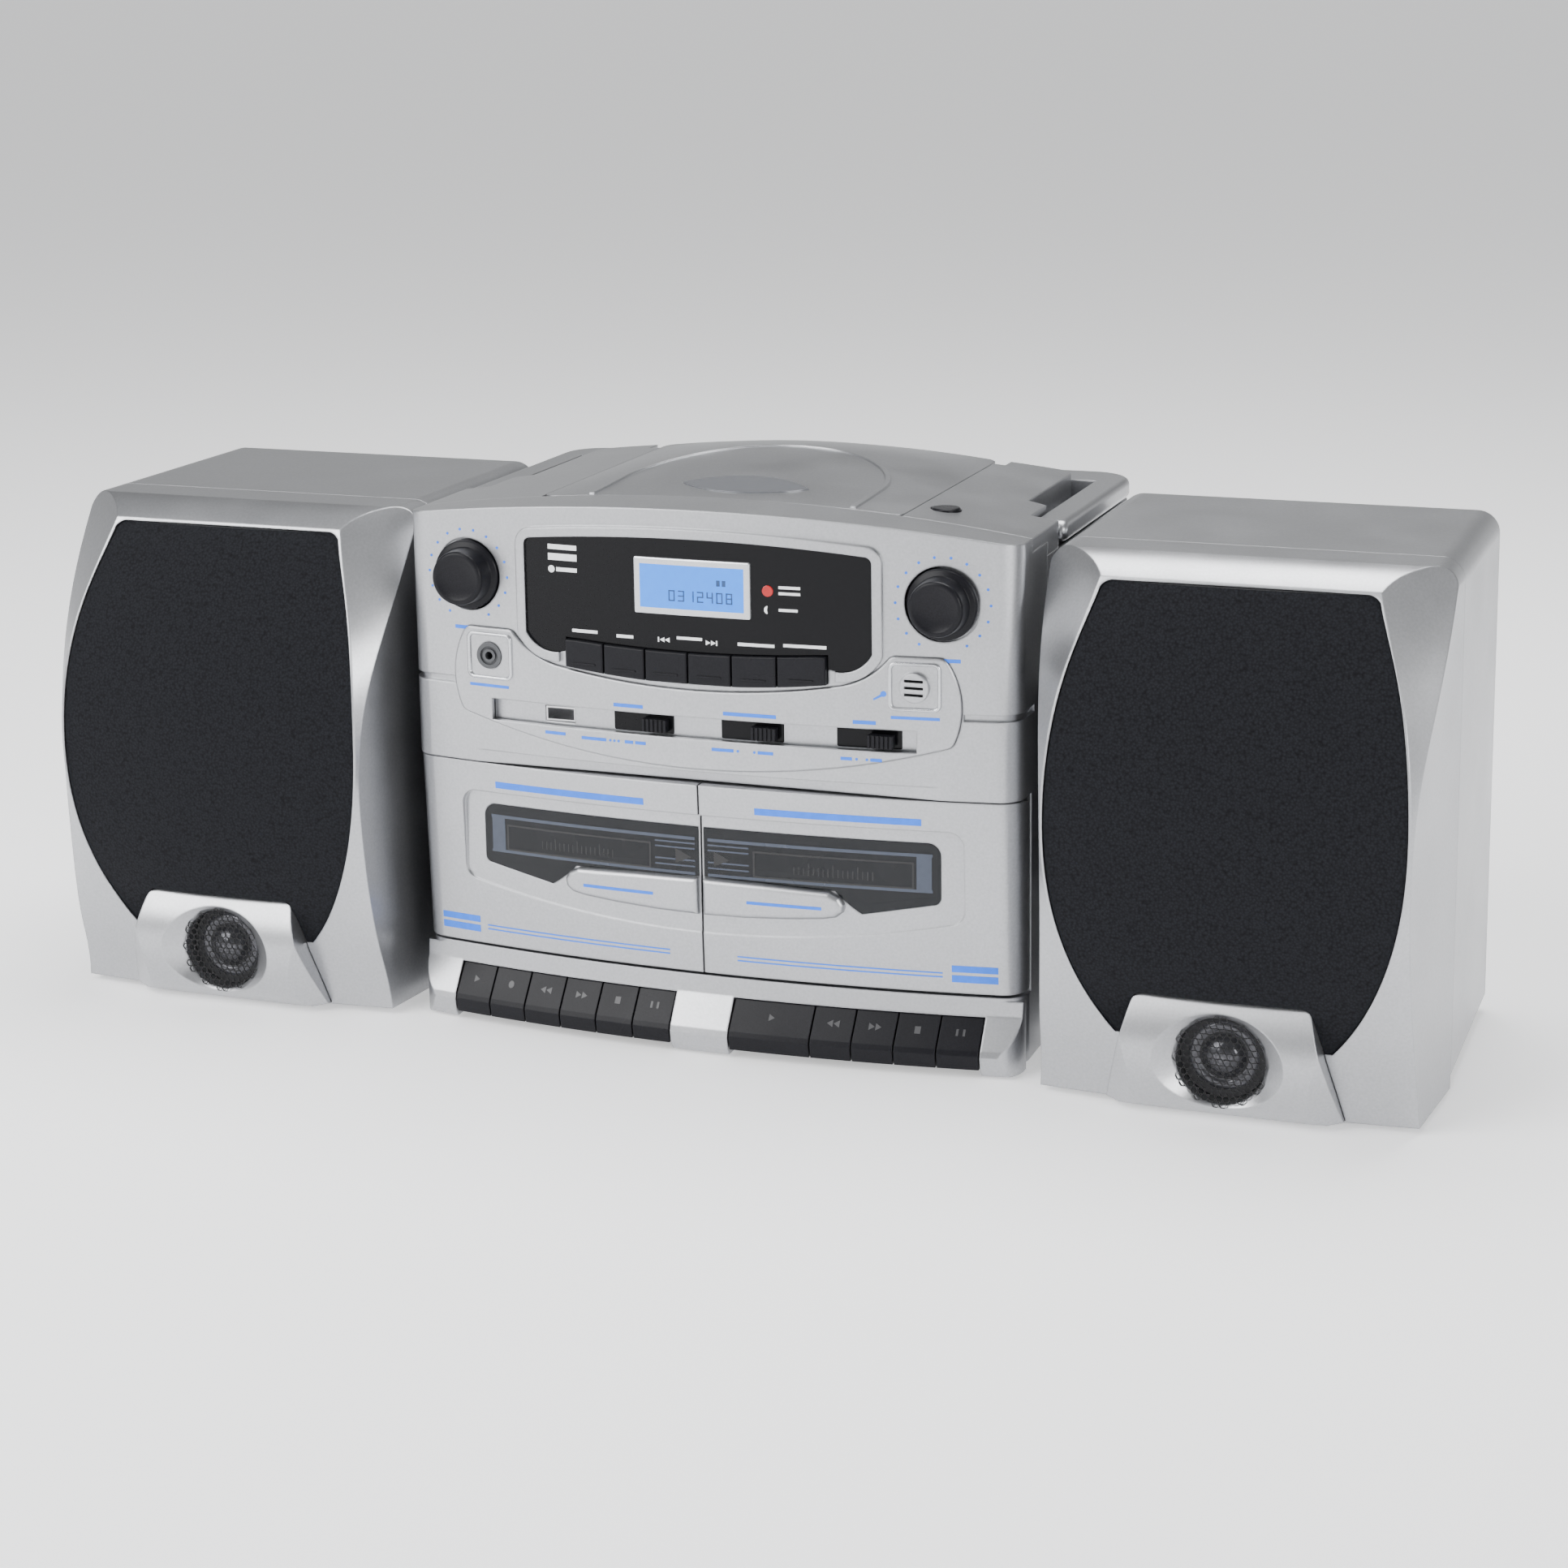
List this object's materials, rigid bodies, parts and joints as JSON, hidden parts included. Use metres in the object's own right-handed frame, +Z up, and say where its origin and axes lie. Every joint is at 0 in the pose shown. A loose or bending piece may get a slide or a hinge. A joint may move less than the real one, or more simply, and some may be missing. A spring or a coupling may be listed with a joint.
{
  "type": "boombox",
  "caption": "Portable stereo with a top-loading disc player, twin cassette decks, display, folding carrying handle and detachable speakers.",
  "frame": {"origin": "centre of the bounding box's bottom face, on the surface the feet stand on", "axes": "+X to the right seen from the front, +Y to the back, +Z up"},
  "size_m": [0.6392, 0.2241, 0.2516],
  "materials": {
    "silver": "satin metallic silver",
    "dark_grey": "satin",
    "key_black": "satin",
    "lens_black": "gloss",
    "smoke_window": "gloss",
    "grey_window": "gloss",
    "grille_cloth": "knitted",
    "steel": "brushed",
    "chrome": "polished",
    "rubber": "matt",
    "board_green": "satin",
    "cone_paper": "matt"
  },
  "bodies": {
    "centre_unit": {"front_casing": "silver", "control_panel": "silver", "switch_strip": "key_black", "headphone_jack": "dark_grey", "usb_socket": "steel", "display_lens": "lens_black", "left_tape_deck": "dark_grey", "right_tape_deck": "dark_grey", "rear_cabinet": "silver", "mains_inlet": "dark_grey", "circuit_board": "board_green", "top_cover": "silver", "disc_well": "dark_grey", "disc_drive": "dark_grey", "rubber_feet": "rubber"},
    "disc_lid": {"disc_lid": "silver", "lid_window": "grey_window"},
    "open_button": {"open_button": "key_black"},
    "carrying_handle": {"carrying_handle": "silver"},
    "volume_knob": {"volume_knob": "key_black"},
    "tuning_knob": {"tuning_knob": "key_black"},
    "disc_mode_key": {"disc_mode_key": "key_black"},
    "disc_folder_key": {"disc_folder_key": "key_black"},
    "disc_previous_key": {"disc_previous_key": "key_black"},
    "disc_next_key": {"disc_next_key": "key_black"},
    "disc_stop_key": {"disc_stop_key": "key_black"},
    "disc_play_key": {"disc_play_key": "key_black"},
    "function_switch": {"function_switch": "key_black"},
    "dubbing_switch": {"dubbing_switch": "key_black"},
    "band_switch": {"band_switch": "key_black"},
    "left_play_key": {"left_play_key": "key_black"},
    "left_record_key": {"left_record_key": "key_black"},
    "left_rewind_key": {"left_rewind_key": "key_black"},
    "left_forward_key": {"left_forward_key": "key_black"},
    "left_stop_key": {"left_stop_key": "key_black"},
    "left_pause_key": {"left_pause_key": "key_black"},
    "right_play_key": {"right_play_key": "key_black"},
    "right_rewind_key": {"right_rewind_key": "key_black"},
    "right_forward_key": {"right_forward_key": "key_black"},
    "right_stop_key": {"right_stop_key": "key_black"},
    "right_pause_key": {"right_pause_key": "key_black"},
    "left_cassette_door": {"left_cassette_door": "silver", "left_door_window": "smoke_window"},
    "left_tape_spindle": {"left_tape_spindle": "dark_grey"},
    "right_cassette_door": {"right_cassette_door": "silver", "right_door_window": "smoke_window"},
    "right_tape_spindle": {"right_tape_spindle": "dark_grey"},
    "disc_spindle": {"disc_spindle": "dark_grey"},
    "battery_door": {"battery_door": "silver"},
    "telescopic_aerial": {"telescopic_aerial": "chrome"},
    "left_speaker": {"left_speaker_cabinet": "silver", "left_speaker_bezel": "silver", "left_speaker_grille": "grille_cloth", "left_tweeter_pod": "silver", "left_speaker_drivers": "cone_paper"},
    "right_speaker": {"right_speaker_cabinet": "silver", "right_speaker_bezel": "silver", "right_speaker_grille": "grille_cloth", "right_tweeter_pod": "silver", "right_speaker_drivers": "cone_paper"}
  },
  "joints": [
    {"name": "disc_lid_hinge", "type": "hinge", "parent": "centre_unit", "child": "disc_lid", "pos_m": [0, 0.077, 0.234], "axis": [-1, 0, 0], "range_deg": [0, 55]},
    {"name": "open_button_press", "type": "slide", "parent": "centre_unit", "child": "open_button", "axis": [0, 0, -1], "range_m": [0, 0.003], "stiffness_N_per_m": 300, "springref_m": -0.003},
    {"name": "handle_swing", "type": "hinge", "parent": "centre_unit", "child": "carrying_handle", "pos_m": [0, -0.014, 0.2283], "axis": [1, 0, 0], "range_deg": [0, 92]},
    {"name": "volume_turn", "type": "hinge", "parent": "centre_unit", "child": "volume_knob", "pos_m": [-0.11, -0.09, 0.2087], "axis": [0, -1, 0], "range_deg": [-150, 150]},
    {"name": "tuning_turn", "type": "hinge", "parent": "centre_unit", "child": "tuning_knob", "pos_m": [0.11, -0.09, 0.2087], "axis": [0, -1, 0], "continuous": true},
    {"name": "disc_mode_key_press", "type": "slide", "parent": "centre_unit", "child": "disc_mode_key", "axis": [0, 1, 0], "range_m": [0, 0.0015], "stiffness_N_per_m": 300, "springref_m": -0.002},
    {"name": "disc_folder_key_press", "type": "slide", "parent": "centre_unit", "child": "disc_folder_key", "axis": [0, 1, 0], "range_m": [0, 0.0015], "stiffness_N_per_m": 300, "springref_m": -0.002},
    {"name": "disc_previous_key_press", "type": "slide", "parent": "centre_unit", "child": "disc_previous_key", "axis": [0, 1, 0], "range_m": [0, 0.0015], "stiffness_N_per_m": 300, "springref_m": -0.002},
    {"name": "disc_next_key_press", "type": "slide", "parent": "centre_unit", "child": "disc_next_key", "axis": [0, 1, 0], "range_m": [0, 0.0015], "stiffness_N_per_m": 300, "springref_m": -0.002},
    {"name": "disc_stop_key_press", "type": "slide", "parent": "centre_unit", "child": "disc_stop_key", "axis": [0, 1, 0], "range_m": [0, 0.0015], "stiffness_N_per_m": 300, "springref_m": -0.002},
    {"name": "disc_play_key_press", "type": "slide", "parent": "centre_unit", "child": "disc_play_key", "axis": [0, 1, 0], "range_m": [0, 0.0015], "stiffness_N_per_m": 300, "springref_m": -0.002},
    {"name": "function_switch_slide", "type": "slide", "parent": "centre_unit", "child": "function_switch", "axis": [1, 0, 0], "range_m": [-0.0144, 0.0018]},
    {"name": "dubbing_switch_slide", "type": "slide", "parent": "centre_unit", "child": "dubbing_switch", "axis": [1, 0, 0], "range_m": [-0.014, 0.0018]},
    {"name": "band_switch_slide", "type": "slide", "parent": "centre_unit", "child": "band_switch", "axis": [1, 0, 0], "range_m": [-0.0158, 0.0018]},
    {"name": "left_play_key_press", "type": "hinge", "parent": "centre_unit", "child": "left_play_key", "pos_m": [0, -0.066, 0.0185], "axis": [1, 0, 0], "range_deg": [0, 5], "stiffness_Nm_per_rad": 0.4, "springref_deg": -14.32},
    {"name": "left_record_key_press", "type": "hinge", "parent": "centre_unit", "child": "left_record_key", "pos_m": [0, -0.066, 0.0185], "axis": [1, 0, 0], "range_deg": [0, 5], "stiffness_Nm_per_rad": 0.4, "springref_deg": -14.32},
    {"name": "left_rewind_key_press", "type": "hinge", "parent": "centre_unit", "child": "left_rewind_key", "pos_m": [0, -0.066, 0.0185], "axis": [1, 0, 0], "range_deg": [0, 5], "stiffness_Nm_per_rad": 0.4, "springref_deg": -14.32},
    {"name": "left_forward_key_press", "type": "hinge", "parent": "centre_unit", "child": "left_forward_key", "pos_m": [0, -0.066, 0.0185], "axis": [1, 0, 0], "range_deg": [0, 5], "stiffness_Nm_per_rad": 0.4, "springref_deg": -14.32},
    {"name": "left_stop_key_press", "type": "hinge", "parent": "centre_unit", "child": "left_stop_key", "pos_m": [0, -0.066, 0.0185], "axis": [1, 0, 0], "range_deg": [0, 5], "stiffness_Nm_per_rad": 0.4, "springref_deg": -14.32},
    {"name": "left_pause_key_press", "type": "hinge", "parent": "centre_unit", "child": "left_pause_key", "pos_m": [0, -0.066, 0.0185], "axis": [1, 0, 0], "range_deg": [0, 5], "stiffness_Nm_per_rad": 0.4, "springref_deg": -14.32},
    {"name": "right_play_key_press", "type": "hinge", "parent": "centre_unit", "child": "right_play_key", "pos_m": [0, -0.066, 0.0185], "axis": [1, 0, 0], "range_deg": [0, 5], "stiffness_Nm_per_rad": 0.4, "springref_deg": -14.32},
    {"name": "right_rewind_key_press", "type": "hinge", "parent": "centre_unit", "child": "right_rewind_key", "pos_m": [0, -0.066, 0.0185], "axis": [1, 0, 0], "range_deg": [0, 5], "stiffness_Nm_per_rad": 0.4, "springref_deg": -14.32},
    {"name": "right_forward_key_press", "type": "hinge", "parent": "centre_unit", "child": "right_forward_key", "pos_m": [0, -0.066, 0.0185], "axis": [1, 0, 0], "range_deg": [0, 5], "stiffness_Nm_per_rad": 0.4, "springref_deg": -14.32},
    {"name": "right_stop_key_press", "type": "hinge", "parent": "centre_unit", "child": "right_stop_key", "pos_m": [0, -0.066, 0.0185], "axis": [1, 0, 0], "range_deg": [0, 5], "stiffness_Nm_per_rad": 0.4, "springref_deg": -14.32},
    {"name": "right_pause_key_press", "type": "hinge", "parent": "centre_unit", "child": "right_pause_key", "pos_m": [0, -0.066, 0.0185], "axis": [1, 0, 0], "range_deg": [0, 5], "stiffness_Nm_per_rad": 0.4, "springref_deg": -14.32},
    {"name": "left_cassette_door_hinge", "type": "hinge", "parent": "centre_unit", "child": "left_cassette_door", "pos_m": [0, -0.088, 0.0385], "axis": [1, 0, 0], "range_deg": [0, 35]},
    {"name": "left_tape_spindle_turn", "type": "hinge", "parent": "centre_unit", "child": "left_tape_spindle", "pos_m": [-0.08125, -0.07, 0.0875], "axis": [0, -1, 0], "continuous": true},
    {"name": "right_cassette_door_hinge", "type": "hinge", "parent": "centre_unit", "child": "right_cassette_door", "pos_m": [0, -0.088, 0.0385], "axis": [1, 0, 0], "range_deg": [0, 35]},
    {"name": "right_tape_spindle_turn", "type": "hinge", "parent": "centre_unit", "child": "right_tape_spindle", "pos_m": [0.08125, -0.07, 0.0875], "axis": [0, -1, 0], "continuous": true},
    {"name": "disc_spindle_turn", "type": "hinge", "parent": "centre_unit", "child": "disc_spindle", "pos_m": [0, 0.008, 0.22], "axis": [0, 0, 1], "continuous": true},
    {"name": "battery_door_hinge", "type": "hinge", "parent": "centre_unit", "child": "battery_door", "pos_m": [0, 0.1098, 0.0244], "axis": [-1, 0, 0], "range_deg": [0, 90]},
    {"name": "aerial_swing", "type": "hinge", "parent": "centre_unit", "child": "telescopic_aerial", "pos_m": [0.112, 0.1067, 0.2], "axis": [0, 0, -1], "range_deg": [0, 135]},
    {"name": "left_speaker_lift_off", "type": "slide", "parent": "centre_unit", "child": "left_speaker", "axis": [0, 0, 1], "range_m": [0, 0.15]},
    {"name": "right_speaker_lift_off", "type": "slide", "parent": "centre_unit", "child": "right_speaker", "axis": [0, 0, 1], "range_m": [0, 0.15]}
  ]
}
